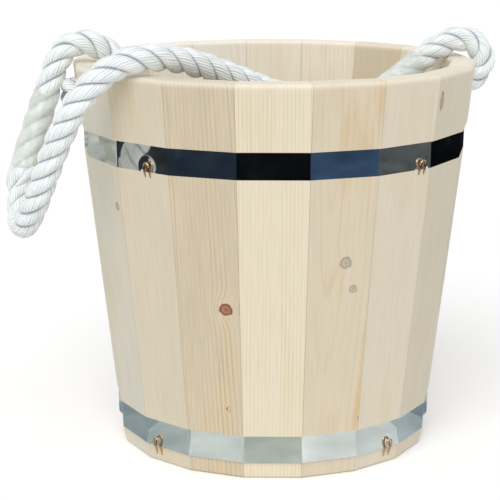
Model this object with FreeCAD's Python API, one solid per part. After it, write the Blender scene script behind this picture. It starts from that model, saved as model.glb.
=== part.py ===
"""A coopered wooden bucket with two steel hoops and a laid rope handle.

Eighteen flat staves lean outwards round a boarded bottom. Two thin hoops hold them. A hoop
flares less than the staves, so its top edge is driven into them while its bottom edge stands
nearly free, and four wire staples keep it there. One rope runs from a hole in one stave to
the hole opposite. Each of its ends goes over the rim and back through its hole as an eye,
bound to the rope under a clear sleeve. The slack lies inside the bucket, crosses the rim and
hangs outside in a bight.

Millimetres. +Z is up, the origin is the middle of the base, the rope holes are on the X axis.
"""

import FreeCAD, Part
import math
import os

from FreeCAD import Vector

os.makedirs("parts", exist_ok=True)

# Driving dimensions of the wooden vessel
bucket_height = 286.0
rim_radius = 150.0              # over the corners of the staves
base_radius = 117.5             # over the corners of the staves
stave_count = 18
stave_thickness = 18.0
stave_gap = 0.1                 # between the long edges of two staves
rim_ease = 3.0                  # radius worn on both edges of the rim
chime_chamfer = 1.5             # on the outer edge of the base
overrun = 5.0                   # how far any cutter passes its work
round_sides = 12                # flat sides that stand for the round of the rope and rivets

# Bottom boards
bottom_height = 15.0            # underside of the boards above the base
bottom_thickness = 14.0
bottom_board_count = 4
bottom_board_gap = 0.2
bottom_clearance = 0.3          # all round, between boards and staves
croze_depth = 4.0
croze_width = 7.4
tongue_thickness = 7.0
spline_thickness = 3.0          # of the loose tongue in each joint between boards
spline_width = 14.0
spline_clearance = 0.1
spline_setback = 6.0            # of its ends from the rim of the boards

# Hoops
hoop_thickness = 0.6
hoop_corner_radius = 8.0
hoop_clearance = 0.15           # between a hoop and its seat
upper_hoop_top = 239.5
upper_hoop_width = 19.0
upper_hoop_sinks = (0.8, 2.5)   # of its inner face into the staves, at its bottom and top edges
lower_hoop_top = 32.5
lower_hoop_width = 20.0
lower_hoop_sinks = (-0.55, 1.35)
lap_length = 26.0
lap_bearing = 80.0              # degrees round the bucket, the side away from the slack rope

# Rivets in the lap of a hoop
rivet_head_diameter = 6.4
rivet_top_diameter = 3.6
rivet_head_height = 1.3
rivet_shank_diameter = 3.2
rivet_spacing = 13.0
rivet_clearance = 0.05

# Flat-wire staples that keep the hoops up
staple_wire_width = 1.4
staple_wire_thickness = 1.2
staple_leg_spacing = 4.8
staple_shoulder = 1.8           # cut across the outside of each shoulder, along both sides
staple_rise = 6.4               # from the edge of the hoop to the crown, along the legs
staple_depth = 10.0             # from the edge of the hoop to the points
staple_lean = 26.0              # degrees from upright
staple_clearance = 0.15         # from the edge of the hoop
staple_hole_clearance = 0.05
upper_staple_bearings = (-138.0, -53.5, 42.0, 126.5)
lower_staple_bearings = (-145.0, -55.0, 35.0, 125.0)

# Rope handle
rope_diameter = 19.0
rope_hole_diameter = 22.0
rope_hole_drop = 20.0           # from the rim to the middle of the hole
sleeve_clearance = 0.15         # all round, between a sleeve and the rope
sleeve_thickness = 0.6
bend_share = 0.45               # of the shorter run beside it that a bend takes up

# The rope's route, end to end
rope_route = (
    # the right eye: out through its hole, up and back over the rim
    (102.5, -4.3, 257.3),
    (115.0, -1.0, 263.0),
    (129.0, 0.0, 266.0),
    (141.0, 0.0, 266.0),
    (151.5, 0.0, 267.0),
    (160.0, -1.0, 276.0),
    (160.0, -2.0, 289.5),
    (150.0, -2.5, 298.5),
    (136.0, -3.5, 299.2),
    # the slack inside
    (119.0, -6.0, 291.2),
    (101.0, -12.0, 277.5),
    (74.0, -24.0, 261.0),
    (38.0, -39.0, 256.0),
    (-2.0, -52.0, 264.5),
    (-41.0, -64.0, 281.5),
    (-76.0, -77.0, 295.5),
    # over the rim and down outside
    (-104.0, -90.0, 299.5),
    (-128.0, -97.0, 294.0),
    (-150.0, -95.5, 273.0),
    (-164.0, -87.0, 244.0),
    (-175.0, -77.0, 213.0),
    (-183.5, -63.0, 187.0),
    # the foot of the bight
    (-189.0, -43.0, 173.5),
    (-191.0, -23.0, 177.0),
    # up again to the left eye
    (-189.4, -12.5, 197.0),
    (-183.5, -6.8, 224.0),
    (-171.5, -3.6, 254.0),
    (-162.3, -1.6, 283.0),
    (-152.5, 0.0, 300.0),
    (-132.0, 0.0, 300.4),
    (-116.0, 0.0, 287.5),
    (-116.0, 0.0, 275.0),
    (-125.0, 0.0, 266.0),
    (-138.0, 0.0, 265.4),
    (-147.5, 0.3, 266.0),
    (-155.3, 0.0, 266.0),
)
# Runs of the route, counted from 0, on which the sleeves start and end, and how far along
right_sleeve_runs = (9, 11)
right_sleeve_shares = (0.5, 0.5)
left_sleeve_runs = (24, 26)
left_sleeve_shares = (0.38, 0.48)

# Shape that follows from those sizes
half_corner = math.radians(180.0 / stave_count)
corner_step = 2.0 * half_corner
taper = math.atan((rim_radius - base_radius) / bucket_height)
wall_across = stave_thickness / math.cos(taper)
rope_hole_height = bucket_height - rope_hole_drop
up = Vector(0, 0, 1)
origin = Vector(0, 0, 0)


def outer_flat(height):
    """Distance from the axis to the outer flats of the staves."""
    corner = base_radius + (rim_radius - base_radius) * height / bucket_height
    return corner * math.cos(half_corner)


def inner_flat(height):
    """Distance from the axis to the inner flats of the staves."""
    return outer_flat(height) - wall_across


def turned(shape, degrees):
    """A copy of a shape, turned round the axis of the bucket."""
    copy = shape.copy()
    copy.rotate(origin, up, degrees)
    return copy


def fused(shapes):
    """One shape out of several that touch or overlap."""
    first = shapes[0]
    return first.fuse(shapes[1:]).removeSplitter() if len(shapes) > 1 else first


def filled(points):
    """The flat face inside an outline."""
    return Part.Face(Part.makePolygon(points + points[:1]))


def flat_sided(low, high):
    """A solid with flat sides between two outlines, both anticlockwise seen from above."""
    faces = [filled(low[::-1]), filled(high)]
    for index in range(len(low)):
        faces.append(filled([low[index - 1], low[index], high[index], high[index - 1]]))
    return Part.Solid(Part.Shell(faces))


def round_corners(middle, along, radius):
    """The corners of a many-sided outline, anticlockwise seen from where it points."""
    across = along.cross(up).normalize()
    rise = along.cross(across).normalize()
    turns = [2 * math.pi * index / round_sides for index in range(round_sides)]
    return [middle + (across * math.cos(turn) + rise * math.sin(turn)) * radius for turn in turns]


def ring_corners(flat, height):
    """The corners of a regular outline, one side to a stave, at a distance from the axis."""
    corner = flat / math.cos(half_corner)
    turns = [half_corner + corner_step * index for index in range(stave_count)]
    return [Vector(corner * math.cos(turn), corner * math.sin(turn), height) for turn in turns]


def stave_corners(inner, outer, height):
    """The corners of one stave, level, with its middle on +X."""
    slack = stave_gap / 2 / math.cos(half_corner)
    slope = math.tan(half_corner)
    return [
        Vector(inner, -inner * slope + slack, height),
        Vector(outer, -outer * slope + slack, height),
        Vector(outer, outer * slope - slack, height),
        Vector(inner, inner * slope - slack, height),
    ]


def level_edges(shape, height, flat):
    """Edges at one height whose middle lies at a distance from the axis, along X."""
    found = []
    for edge in shape.Edges:
        middle = edge.CenterOfMass
        ends = [vertex.Point.z for vertex in edge.Vertexes]
        at_height = all(abs(z - height) < stave_gap for z in ends)
        if at_height and abs(middle.x - flat) < stave_gap:
            found.append(edge)
    return found


def rising_edges(shape):
    """Edges whose two ends are at different heights."""
    return [edge for edge in shape.Edges
            if abs(edge.Vertexes[0].Point.z - edge.Vertexes[1].Point.z) > stave_gap]


def plain_stave():
    """One stave before its holes: tapered board, worn rim, chime and croze."""
    board = flat_sided(
        stave_corners(inner_flat(0), outer_flat(0), 0),
        stave_corners(inner_flat(bucket_height), outer_flat(bucket_height), bucket_height))
    ease = min(rim_ease, stave_thickness / 3)
    rim_edges = level_edges(board, bucket_height, outer_flat(bucket_height))
    rim_edges += level_edges(board, bucket_height, inner_flat(bucket_height))
    board = board.makeFillet(ease, rim_edges)
    chime = min(chime_chamfer, stave_thickness / 4)
    board = board.makeChamfer(chime, level_edges(board, 0, outer_flat(0)))
    middle = bottom_height + bottom_thickness / 2
    reach = inner_flat(middle) + croze_depth
    width = 2 * outer_flat(bucket_height) * math.tan(half_corner)
    croze = Part.makeBox(
        reach, width, croze_width, Vector(0, -width / 2, middle - croze_width / 2))
    return board.cut(croze)


class Hoop:
    """The sizes of one hoop, all worked out from its height, width and the staves."""

    def __init__(self, top, width, sinks):
        self.top = top
        self.bottom = top - width
        self.width = width
        self.inner_bottom = outer_flat(self.bottom) - sinks[0]
        self.inner_top = outer_flat(self.top) - sinks[1]
        self.lean = math.atan((self.inner_top - self.inner_bottom) / width)
        self.across = hoop_thickness / math.cos(self.lean)

    def inner(self, height):
        share = (height - self.bottom) / self.width
        return self.inner_bottom + (self.inner_top - self.inner_bottom) * share

    def outer(self, height):
        return self.inner(height) + self.across

    def block(self, low, high, extra):
        """A sharp-cornered solid out to the hoop's inner face and a little more or less."""
        return flat_sided(
            ring_corners(self.inner(low) + extra, low),
            ring_corners(self.inner(high) + extra, high))

    def seat(self):
        """What the driven hoop presses out of the staves, their corners pressed flat."""
        core = self.block(self.bottom - overrun, self.top + overrun, -hoop_clearance)
        drop = hoop_corner_radius * (1 / math.cos(half_corner) - 1)
        core = core.makeChamfer(drop / math.sin(half_corner), rising_edges(core))
        slab = Part.makeCylinder(
            rim_radius + overrun, self.width + hoop_clearance, Vector(0, 0, self.bottom))
        return slab.cut(core)

    def strip(self):
        """The closed strip with the end that laps over it, less the rivet holes."""
        outside = self.block(self.bottom, self.top, self.across)
        outside = outside.makeFillet(hoop_corner_radius + self.across, rising_edges(outside))
        inside = self.block(self.bottom - overrun, self.top + overrun, 0)
        inside = inside.makeFillet(hoop_corner_radius, rising_edges(inside))
        ring = outside.cut(inside)
        start = -lap_length / 2
        face = filled([
            Vector(self.outer(self.bottom), start, self.bottom),
            Vector(self.outer(self.bottom) + self.across, start, self.bottom),
            Vector(self.outer(self.top) + self.across, start, self.top),
            Vector(self.outer(self.top), start, self.top),
        ])
        lap = turned(face.extrude(Vector(0, lap_length, 0)), lap_bearing)
        return fused([ring, lap]).cut(self.rivet_shanks(rivet_clearance))

    def rivet_places(self):
        """Where the rivets meet the lap's outer face, and the direction square to it."""
        middle = (self.bottom + self.top) / 2
        out = Vector(math.cos(self.lean), 0, -math.sin(self.lean))
        seat = Vector(self.outer(middle) + self.across, 0, middle)
        across = Vector(0, rivet_spacing / 2, 0)
        return [seat - across, seat + across], out

    def rivet_shanks(self, clearance):
        """What fills the rivet holes, through both thicknesses of the strip."""
        places, out = self.rivet_places()
        radius = rivet_shank_diameter / 2 + clearance
        length = out * (2 * hoop_thickness)
        shanks = []
        for place in places:
            shank = flat_sided(
                round_corners(place - length, out, radius), round_corners(place, out, radius))
            shanks.append(turned(shank, lap_bearing))
        return shanks

    def rivets(self):
        """Rivets with a raised head, flush inside the hoop."""
        places, out = self.rivet_places()
        solids = []
        for place, shank in zip(places, self.rivet_shanks(0)):
            head = flat_sided(
                round_corners(place, out, rivet_head_diameter / 2),
                round_corners(place + out * rivet_head_height, out, rivet_top_diameter / 2))
            solids.append(fused([turned(head, lap_bearing), shank]))
        return solids

    def staple(self, bearing, clearance):
        """One staple over the hoop's bottom edge at a bearing in degrees, or its hole."""
        lean = math.radians(staple_lean)
        down = Vector(-math.sin(lean), 0, -math.cos(lean))
        off = Vector(math.cos(lean), 0, -math.sin(lean))
        across = Vector(0, 1, 0)
        step = math.degrees(corner_step)
        stave_turn = step * round(bearing / step)
        slide = self.outer(self.bottom) * math.tan(math.radians(bearing - stave_turn))
        edge = Vector(self.outer(self.bottom), slide, self.bottom)
        back = edge + off * (staple_clearance - clearance)
        half_wire = staple_wire_width / 2 + clearance
        half_spacing = staple_leg_spacing / 2
        outside = arch(half_spacing + half_wire, -staple_rise - half_wire, staple_shoulder)
        inside = arch(
            half_spacing - half_wire, half_wire - staple_rise,
            staple_shoulder - staple_wire_width * (2 - math.sqrt(2)))
        corners = [back + across * side + down * along for side, along in outside + inside[::-1]]
        depth = staple_wire_thickness + 2 * clearance
        return turned(filled(corners).extrude(off * depth), stave_turn)


def arch(half_width, crown, shoulder):
    """The places of a leg's foot, a crown with slanted shoulders and the other foot."""
    right = [
        (half_width - shoulder, crown),
        (half_width, crown + shoulder),
        (half_width, staple_depth),
    ]
    left = [(-side, along) for side, along in right[::-1]]
    return left + right


def tube(path, radius):
    """A solid along a path with a many-sided section, its corners at a radius."""
    first = path.OrderedEdges[0]
    start = first.valueAt(first.FirstParameter)
    corners = round_corners(start, first.tangentAt(first.FirstParameter), radius)
    return path.makePipeShell([Part.makePolygon(corners + corners[:1])], True, False)


def route_bends(points):
    """For each inner point of a route: its bend's tangent length, radius and turn."""
    bends = []
    for before, here, after in zip(points, points[1:], points[2:]):
        arriving = here - before
        leaving = after - here
        turn = arriving.getAngle(leaving)
        tangent = bend_share * min(arriving.Length, leaving.Length)
        bends.append((tangent, tangent / math.tan(turn / 2), turn))
    return bends


def route_edges(points, bends, start, end):
    """Straight runs joined by tangent arcs, from one place on the route to another."""
    edges = []
    last = start
    for here, (tangent, radius, turn), before, after in zip(
            points[1:-1], bends, points, points[2:]):
        back = (before - here).normalize()
        ahead = (after - here).normalize()
        first = here + back * tangent
        final = here + ahead * tangent
        inward = (back + ahead).normalize()
        middle = here + inward * (math.hypot(tangent, radius) - radius)
        edges.append(Part.LineSegment(last, first).toShape())
        edges.append(Part.Arc(first, middle, final).toShape())
        last = final
    edges.append(Part.LineSegment(last, end).toShape())
    return edges


def part_of_route(points, bends, runs, shares):
    """The path from a place on one straight run to a place on a later one."""
    first, last = runs
    start = points[first] + (points[first + 1] - points[first]) * shares[0]
    end = points[last] + (points[last + 1] - points[last]) * shares[1]
    kept = points[first:last + 2]
    return Part.Wire(route_edges(kept, bends[first:last], start, end))


def make_staves(hoops, bearings):
    """All staves, seated in the hoops, with the rope holes and the holes of the staples."""
    board = plain_stave()
    for hoop in hoops.values():
        board = board.cut(hoop.seat())
    rope_hole = Part.makeCylinder(
        rope_hole_diameter / 2, rim_radius + overrun, Vector(0, 0, rope_hole_height),
        Vector(1, 0, 0))
    step = math.degrees(corner_step)
    wire_holes = {}
    for name, angles in bearings.items():
        for angle in angles:
            index = round(angle / step) % stave_count
            hole = hoops[name].staple(angle, staple_hole_clearance)
            wire_holes.setdefault(index, []).append(hole)
    staves = {}
    for index in range(stave_count):
        stave = turned(board, step * index)
        if index in (0, stave_count // 2):
            stave = stave.cut(turned(rope_hole, step * index))
        for hole in wire_holes.get(index, []):
            stave = stave.cut(hole)
        staves["stave_%02d" % (index + 1)] = stave
    return staves


def make_bottom():
    """Boards with a tongue all round, and the loose splines in the joints between them."""
    top = bottom_height + bottom_thickness
    middle = bottom_height + bottom_thickness / 2
    body = flat_sided(
        ring_corners(inner_flat(bottom_height) - bottom_clearance, bottom_height),
        ring_corners(inner_flat(top) - bottom_clearance, top))
    tongue_flat = inner_flat(middle) + croze_depth - bottom_clearance
    tongue = flat_sided(
        ring_corners(tongue_flat, middle - tongue_thickness / 2),
        ring_corners(tongue_flat, middle + tongue_thickness / 2))
    disc = body.fuse(tongue)
    board_width = 2 * tongue_flat / bottom_board_count
    joints = [-tongue_flat + board_width * index for index in range(1, bottom_board_count)]

    def splines(clearance, setback):
        slats = []
        for joint in joints:
            half_length = math.sqrt(tongue_flat ** 2 - joint ** 2) - setback
            wide = spline_width + 2 * clearance
            thick = spline_thickness + 2 * clearance
            corner = Vector(-half_length, joint - wide / 2, middle - thick / 2)
            slats.append(Part.makeBox(2 * half_length, wide, thick, corner))
        return slats

    grooves = splines(spline_clearance, -overrun)
    reach = tongue_flat + overrun
    edges = [-reach] + joints + [reach]
    boards = {}
    for index in range(bottom_board_count):
        low = edges[index] + bottom_board_gap / 2
        high = edges[index + 1] - bottom_board_gap / 2
        slab = Part.makeBox(
            2 * reach, high - low, bottom_thickness + 2 * overrun,
            Vector(-reach, low, bottom_height - overrun))
        boards["bottom_board_%d" % (index + 1)] = disc.common(slab).cut(grooves).removeSplitter()
    return boards, Part.makeCompound(splines(0, spline_setback))


def make_rope():
    """The rope as a plain tube, and the clear sleeves that bind its two eyes."""
    points = [Vector(*place) for place in rope_route]
    bends = route_bends(points)
    path = Part.Wire(route_edges(points, bends, points[0], points[-1]))
    rope = tube(path, rope_diameter / 2)
    pieces = {"rope_handle": rope}
    flat_share = math.cos(math.pi / round_sides)
    bore = (rope_diameter / 2 + sleeve_clearance) / flat_share
    outside = bore + sleeve_thickness / flat_share
    sleeves = []
    for runs, shares in (
            (right_sleeve_runs, right_sleeve_shares), (left_sleeve_runs, left_sleeve_shares)):
        stretch = part_of_route(points, bends, runs, shares)
        sleeves.append(tube(stretch, outside).cut(tube(stretch, bore)))
        print("sleeve length %.0f mm" % stretch.Length)
    pieces["splice_sleeves"] = Part.makeCompound(sleeves)
    print("rope length %.0f mm" % path.Length)
    section = round_sides / 2 * (rope_diameter / 2) ** 2 * math.sin(2 * math.pi / round_sides)
    print("volume over section times length %.4f" % (rope.Volume / (section * path.Length)))
    print("bend radii", " ".join("%.0f" % radius for tangent, radius, turn in bends))
    return pieces


def build():
    hoops = {
        "upper_hoop": Hoop(upper_hoop_top, upper_hoop_width, upper_hoop_sinks),
        "lower_hoop": Hoop(lower_hoop_top, lower_hoop_width, lower_hoop_sinks),
    }
    bearings = {"upper_hoop": upper_staple_bearings, "lower_hoop": lower_staple_bearings}
    pieces = make_staves(hoops, bearings)
    boards, slats = make_bottom()
    pieces.update(boards)
    pieces["bottom_splines"] = slats
    for name, hoop in hoops.items():
        pieces[name] = hoop.strip()
        pieces[name + "_rivets"] = Part.makeCompound(hoop.rivets())
        staples = [hoop.staple(bearing, 0) for bearing in bearings[name]]
        pieces[name + "_staples"] = Part.makeCompound(staples)
    pieces.update(make_rope())
    return pieces


for node, shape in build().items():
    solids = shape.Solids
    valid = all(solid.isValid() for solid in solids)
    print("%-22s solids %d volume %9.1f valid %s" % (node, len(solids), shape.Volume, valid))
    shape.exportStep("parts/%s.step" % node)
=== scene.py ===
# %% [markdown]
# # A coopered bucket with a laid rope handle
# The bucket is eighteen flat staves of pale softwood, held by two thin steel hoops.
# Wire staples keep the hoops up, and one thick white rope is the handle.
# Staves, bottom and hoops keep their solids' forms and get finishes, and the rope, its
# film, the staples and the rivets get fuller forms.

# %% Load the frame
import math

import bpy
from mathutils import Matrix, Vector


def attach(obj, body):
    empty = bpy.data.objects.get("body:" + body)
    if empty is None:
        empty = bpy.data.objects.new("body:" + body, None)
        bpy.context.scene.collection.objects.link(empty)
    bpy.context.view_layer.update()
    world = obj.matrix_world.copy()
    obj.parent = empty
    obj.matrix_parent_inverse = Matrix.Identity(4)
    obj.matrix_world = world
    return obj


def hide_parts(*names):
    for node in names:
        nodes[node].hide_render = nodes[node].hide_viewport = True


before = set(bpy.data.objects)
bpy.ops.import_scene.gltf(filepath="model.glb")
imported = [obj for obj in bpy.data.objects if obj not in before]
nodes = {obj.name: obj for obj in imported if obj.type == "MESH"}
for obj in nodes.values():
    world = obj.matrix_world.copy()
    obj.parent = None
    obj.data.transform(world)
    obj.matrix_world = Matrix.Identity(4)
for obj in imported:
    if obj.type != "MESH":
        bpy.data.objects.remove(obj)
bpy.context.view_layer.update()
MM = 0.001

# %% [markdown]
# ## Helpers
# Every tree below is built with one function that adds a node, sets it up and links it.
# Colours are written as sRGB hex values, as on a paint chart, and turned to the linear
# values Blender needs. The others start a finish, put it on a solid, and put an object
# in the scene.

# %% Helpers for trees, finishes and objects
def add(tree, kind, inputs=(), **settings):
    """A new node. Inputs, in order or by name, are sockets, nodes, colours or values."""
    node = tree.nodes.new(kind)
    for setting, value in settings.items():
        setattr(node, setting, value)
    named = inputs if isinstance(inputs, dict) else dict(enumerate(inputs))
    for key, value in named.items():
        usable = [socket for socket in node.inputs if socket.enabled]
        if isinstance(key, int):
            socket = usable[key]
        else:
            socket = next(one for one in usable if one.name == key)
        if isinstance(value, str) and value.startswith("#"):
            value = colour(value)
        if isinstance(value, bpy.types.Node):
            value = next(one for one in value.outputs if one.enabled)
        if isinstance(value, bpy.types.NodeSocket):
            tree.links.new(value, socket)
        elif value is not None:
            socket.default_value = value
    return node


def colour(code):
    """A linear colour from an sRGB hex value."""
    shares = [int(code[place:place + 2], 16) / 255 for place in (1, 3, 5)]
    linear = [part / 12.92 if part <= 0.04045 else ((part + 0.055) / 1.055) ** 2.4
              for part in shares]
    return (*linear, 1.0)


def new_finish(name):
    """A new material and its empty tree."""
    material = bpy.data.materials.new(name)
    material.use_nodes = True
    material.node_tree.nodes.clear()
    return material, material.node_tree


def dress(name, finish):
    """Puts one finish on a solid of the frame, in place of its own."""
    materials = nodes[name].data.materials
    materials.clear()
    materials.append(finish)


def placed(name, data):
    """A new object in the scene."""
    item = bpy.data.objects.new(name, data)
    bpy.context.scene.collection.objects.link(item)
    return item


print("pale wood in linear values:", colour("#e1d7be"))

# %% [markdown]
# ## The camera
# The proportions of the rim, the base and both hoops fix where the camera stood:
# about 1.2 m away, a little left of the middle, looking down by thirteen degrees.

# %% Place the camera
camera_data = bpy.data.cameras.new("camera")
camera_data.sensor_width = 36.0
camera_data.lens = 116.3
camera = placed("camera", camera_data)
camera.location = (-0.2084, -1.1818, 0.4212)
line_of_sight = Vector((0.1549, 0.9613, -0.2281))
camera.rotation_euler = line_of_sight.to_track_quat("-Z", "Y").to_euler()
bpy.context.scene.camera = camera
print("camera at", tuple(camera.location), "lens", camera_data.lens)

# %% [markdown]
# ## The rope's line
# The handle is one stiff rope. It leaves the right hole, turns up and back over the rim
# into its eye, crosses the mouth in a slack bow, goes over the rim at the left, hangs
# down outside, and comes up again to its left eye. Its line is a smooth spline with the
# same points as the solid's route.

# %% Helpers for curves
def nurbs_line(name, places, resolution, bevel=0.0, bevel_steps=4):
    """A smooth curve with its control points at places in metres."""
    data = bpy.data.curves.new(name, "CURVE")
    data.dimensions = "3D"
    data.resolution_u = resolution
    data.bevel_depth = bevel
    data.bevel_resolution = bevel_steps
    data.use_fill_caps = bevel > 0.0
    spline = data.splines.new("NURBS")
    spline.points.add(len(places) - 1)
    for point, place in zip(spline.points, places):
        point.co = (*place, 1.0)
    spline.order_u = 3
    spline.use_endpoint_u = True
    return data


def mesh_of(data):
    """The mesh that a curve makes."""
    curve = placed(data.name, data)
    evaluated = curve.evaluated_get(bpy.context.evaluated_depsgraph_get())
    mesh = bpy.data.meshes.new_from_object(evaluated)
    bpy.data.objects.remove(curve)
    return mesh


print("curve helpers ready")

# %% Draw the rope's line
rope_route = (
    # the right eye
    (102.5, -4.3, 257.3), (115.0, -1.0, 263.0), (129.0, 0.0, 266.0),
    (141.0, 0.0, 266.0), (151.5, 0.0, 267.0), (160.0, -1.0, 276.0),
    (160.0, -2.0, 289.5), (150.0, -2.5, 298.5), (136.0, -3.5, 299.2),
    # the slack inside
    (119.0, -6.0, 291.2), (101.0, -12.0, 277.5), (74.0, -24.0, 261.0),
    (38.0, -39.0, 256.0), (-2.0, -52.0, 264.5), (-41.0, -64.0, 281.5),
    (-76.0, -77.0, 295.5),
    # over the rim and down outside
    (-104.0, -90.0, 299.5), (-128.0, -97.0, 294.0), (-150.0, -95.5, 273.0),
    (-164.0, -87.0, 244.0), (-175.0, -77.0, 213.0), (-183.5, -63.0, 187.0),
    # the foot of the bight
    (-189.0, -43.0, 173.5), (-191.0, -23.0, 177.0),
    # up again to the left eye
    (-189.4, -12.5, 197.0), (-183.5, -6.8, 224.0), (-171.5, -3.6, 254.0),
    (-162.3, -1.6, 283.0), (-152.5, 0.0, 300.0), (-132.0, 0.0, 300.4),
    (-116.0, 0.0, 287.5), (-116.0, 0.0, 275.0), (-125.0, 0.0, 266.0),
    (-138.0, 0.0, 265.4), (-147.5, 0.3, 266.0), (-155.3, 0.0, 266.0),
)
route_places = [Vector(place) * MM for place in rope_route]
line_mesh = mesh_of(nurbs_line("rope_line", route_places, 16))
rope_path = [vertex.co.copy() for vertex in line_mesh.vertices]
path_lengths = [0.0]
for one, other in zip(rope_path, rope_path[1:]):
    path_lengths.append(path_lengths[-1] + (other - one).length)

# %% [markdown]
# ## Trees that make geometry
# What follows a path or repeats is made by Geometry Nodes, in trees with named inputs
# for the sizes. One function starts a tree, three make what the trees share, and the
# last keeps what a tree makes of a mesh as a plain mesh, because the finished piece
# must not depend on a modifier.

# %% Helpers for geometry trees
def new_tree(name, kind, inputs, outputs):
    """A node group with sockets of the named kinds, and what it is given."""
    tree = bpy.data.node_groups.new(name, kind)
    for way, sockets in (("INPUT", inputs), ("OUTPUT", outputs)):
        for title, socket in sockets.items():
            tree.interface.new_socket(title, in_out=way, socket_type="NodeSocket" + socket)
    return tree, add(tree, "NodeGroupInput").outputs


def measured_line(tree, given):
    """The given line in even steps, whose points keep their length from its start."""
    line = add(tree, "GeometryNodeMeshToCurve", [given["Geometry"]])
    even = add(tree, "GeometryNodeResampleCurve", {
        "Curve": line, "Length": given["Step"]}, mode="LENGTH")
    measure = add(tree, "GeometryNodeSplineParameter")
    return add(tree, "GeometryNodeStoreNamedAttribute", {
        "Geometry": even, "Name": "along", "Value": measure.outputs["Length"]})


def round_section(tree, corners, high, wide):
    """A round to sweep, whose points keep their direction from its middle."""
    ring = add(tree, "GeometryNodeCurvePrimitiveCircle", {
        "Resolution": corners, "Radius": 1.0}, mode="RADIUS")
    named = add(tree, "GeometryNodeStoreNamedAttribute", {
        "Geometry": ring, "Name": "around", "Value": add(tree, "GeometryNodeInputPosition")},
        data_type="FLOAT_VECTOR")
    scale = add(tree, "ShaderNodeCombineXYZ", [high, wide, 1.0])
    return add(tree, "GeometryNodeTransform", {"Geometry": named, "Scale": scale})


def hand_out(tree, geometry, given):
    """The end of a geometry tree: smooth and real, in the given finish."""
    smooth = add(tree, "GeometryNodeSetShadeSmooth", {"Geometry": geometry})
    real = add(tree, "GeometryNodeRealizeInstances", {"Geometry": smooth})
    dressed = add(tree, "GeometryNodeSetMaterial", {
        "Geometry": real, "Material": given["Finish"]})
    add(tree, "NodeGroupOutput", [dressed])


def made(name, mesh, tree, values):
    """A plain mesh object of what the tree makes of a mesh with these input values."""
    piece = placed(name, mesh)
    modifier = piece.modifiers.new(tree.name, "NODES")
    modifier.node_group = tree
    for socket in tree.interface.items_tree:
        if socket.in_out == "INPUT" and socket.name in values:
            modifier[socket.identifier] = values[socket.name]
    evaluated = piece.evaluated_get(bpy.context.evaluated_depsgraph_get())
    result = bpy.data.meshes.new_from_object(evaluated)
    result.name = name
    piece.modifiers.remove(modifier)
    piece.data = result
    print(name, "has", len(result.vertices), "vertices")
    return piece


noise_middle = 0.5
print("tree helpers ready")

# %% [markdown]
# ## The rope's fibre
# The rope is white polypropylene or nylon, spun to yarns, twisted to strands, and laid.
# Smooth bright filaments give it a silky sheen. The yarns on top of each strand run
# about along the rope, because the strands are twisted the other way. The grooves
# between the strands get a painted lavender-grey shade, and the low gaps between the
# yarns a painted grey shade. The pattern reads two attributes that the strands carry:
# the direction round the strand and the length along the rope.

# %% Finish of the rope
yarn_count = 13.0
yarn_turn = 20.0 * MM           # of rope for one turn of the yarns round their strand
filament_scale = (1.3, 70.0, 1.0)      # streaks to a yarn, and to a metre along the rope
filament_depth = 6.0            # of the streaks, against 1 for the yarns
rope_fibre, tree = new_finish("laid_white_synthetic_rope")
around = add(tree, "ShaderNodeAttribute", attribute_name="around")
along = add(tree, "ShaderNodeAttribute", attribute_name="along")
sides = add(tree, "ShaderNodeSeparateXYZ", [around.outputs["Vector"]])
angle = add(tree, "ShaderNodeMath", [sides.outputs["Y"], sides.outputs["X"]], operation="ARCTAN2")
turned = add(tree, "ShaderNodeMath", [angle, 2 * math.pi], operation="DIVIDE")
travel = add(tree, "ShaderNodeMath", [along.outputs["Fac"], yarn_turn], operation="DIVIDE")
turns = add(tree, "ShaderNodeMath", [turned, travel], operation="ADD")
yarns = add(tree, "ShaderNodeMath", [turns, yarn_count], operation="MULTIPLY")
yarn_angle = add(tree, "ShaderNodeMath", [yarns, 2 * math.pi], operation="MULTIPLY")
yarn_wave = add(tree, "ShaderNodeMath", [yarn_angle], operation="COSINE")
filament_place = add(tree, "ShaderNodeCombineXYZ", [yarns, along.outputs["Fac"], 0.0])
filament_scaled = add(tree, "ShaderNodeVectorMath", [
    filament_place, filament_scale], operation="MULTIPLY")
filaments = add(tree, "ShaderNodeTexNoise", {
    "Vector": filament_scaled, "Scale": 1.0, "Detail": 3.0, "Roughness": 0.6})
height = add(tree, "ShaderNodeMath", [
    filaments.outputs["Fac"], filament_depth, yarn_wave], operation="MULTIPLY_ADD")
# Painted shade: the sides of each strand that face the grooves and the rope's core are mixed
# towards lavender grey, and only the outward crowns stay white.
clear_of_groove_shade = add(tree, "ShaderNodeMapRange", {
    "Value": sides.outputs["X"], "From Max": 0.5}, interpolation_type="SMOOTHSTEP")
body = add(tree, "ShaderNodeMix", {
    "Factor": clear_of_groove_shade, "A": "#adb4be", "B": "#f8ffff"}, data_type="RGBA")
# Painted shade: where the yarns and filaments lie low, in the gaps between the yarns, the colour is
# mixed towards grey.
streak = add(tree, "ShaderNodeMapRange", {
    "Value": height, "From Min": 3.3, "From Max": 1.5, "To Max": 0.55})
fibre_with_painted_shade = add(tree, "ShaderNodeMix", {
    "Factor": streak, "A": body, "B": "#a4b0b0"}, data_type="RGBA")
gloss = add(tree, "ShaderNodeMapRange", {
    "Value": filaments.outputs["Fac"], "To Min": 0.22, "To Max": 0.45})
relief = add(tree, "ShaderNodeBump", {"Strength": 1.0, "Distance": 0.15 * MM, "Height": height})
shader = add(tree, "ShaderNodeBsdfPrincipled", {
    "Base Color": fibre_with_painted_shade, "Roughness": gloss, "Normal": relief, "IOR": 1.5,
    "Sheen Weight": 0.9, "Sheen Roughness": 0.5, "Subsurface Weight": 0.25,
    "Subsurface Radius": (1.0, 1.0, 1.0), "Subsurface Scale": 2.5 * MM})
add(tree, "ShaderNodeOutputMaterial", [shader])
print("rope finish:", len(tree.nodes), "nodes")

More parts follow.
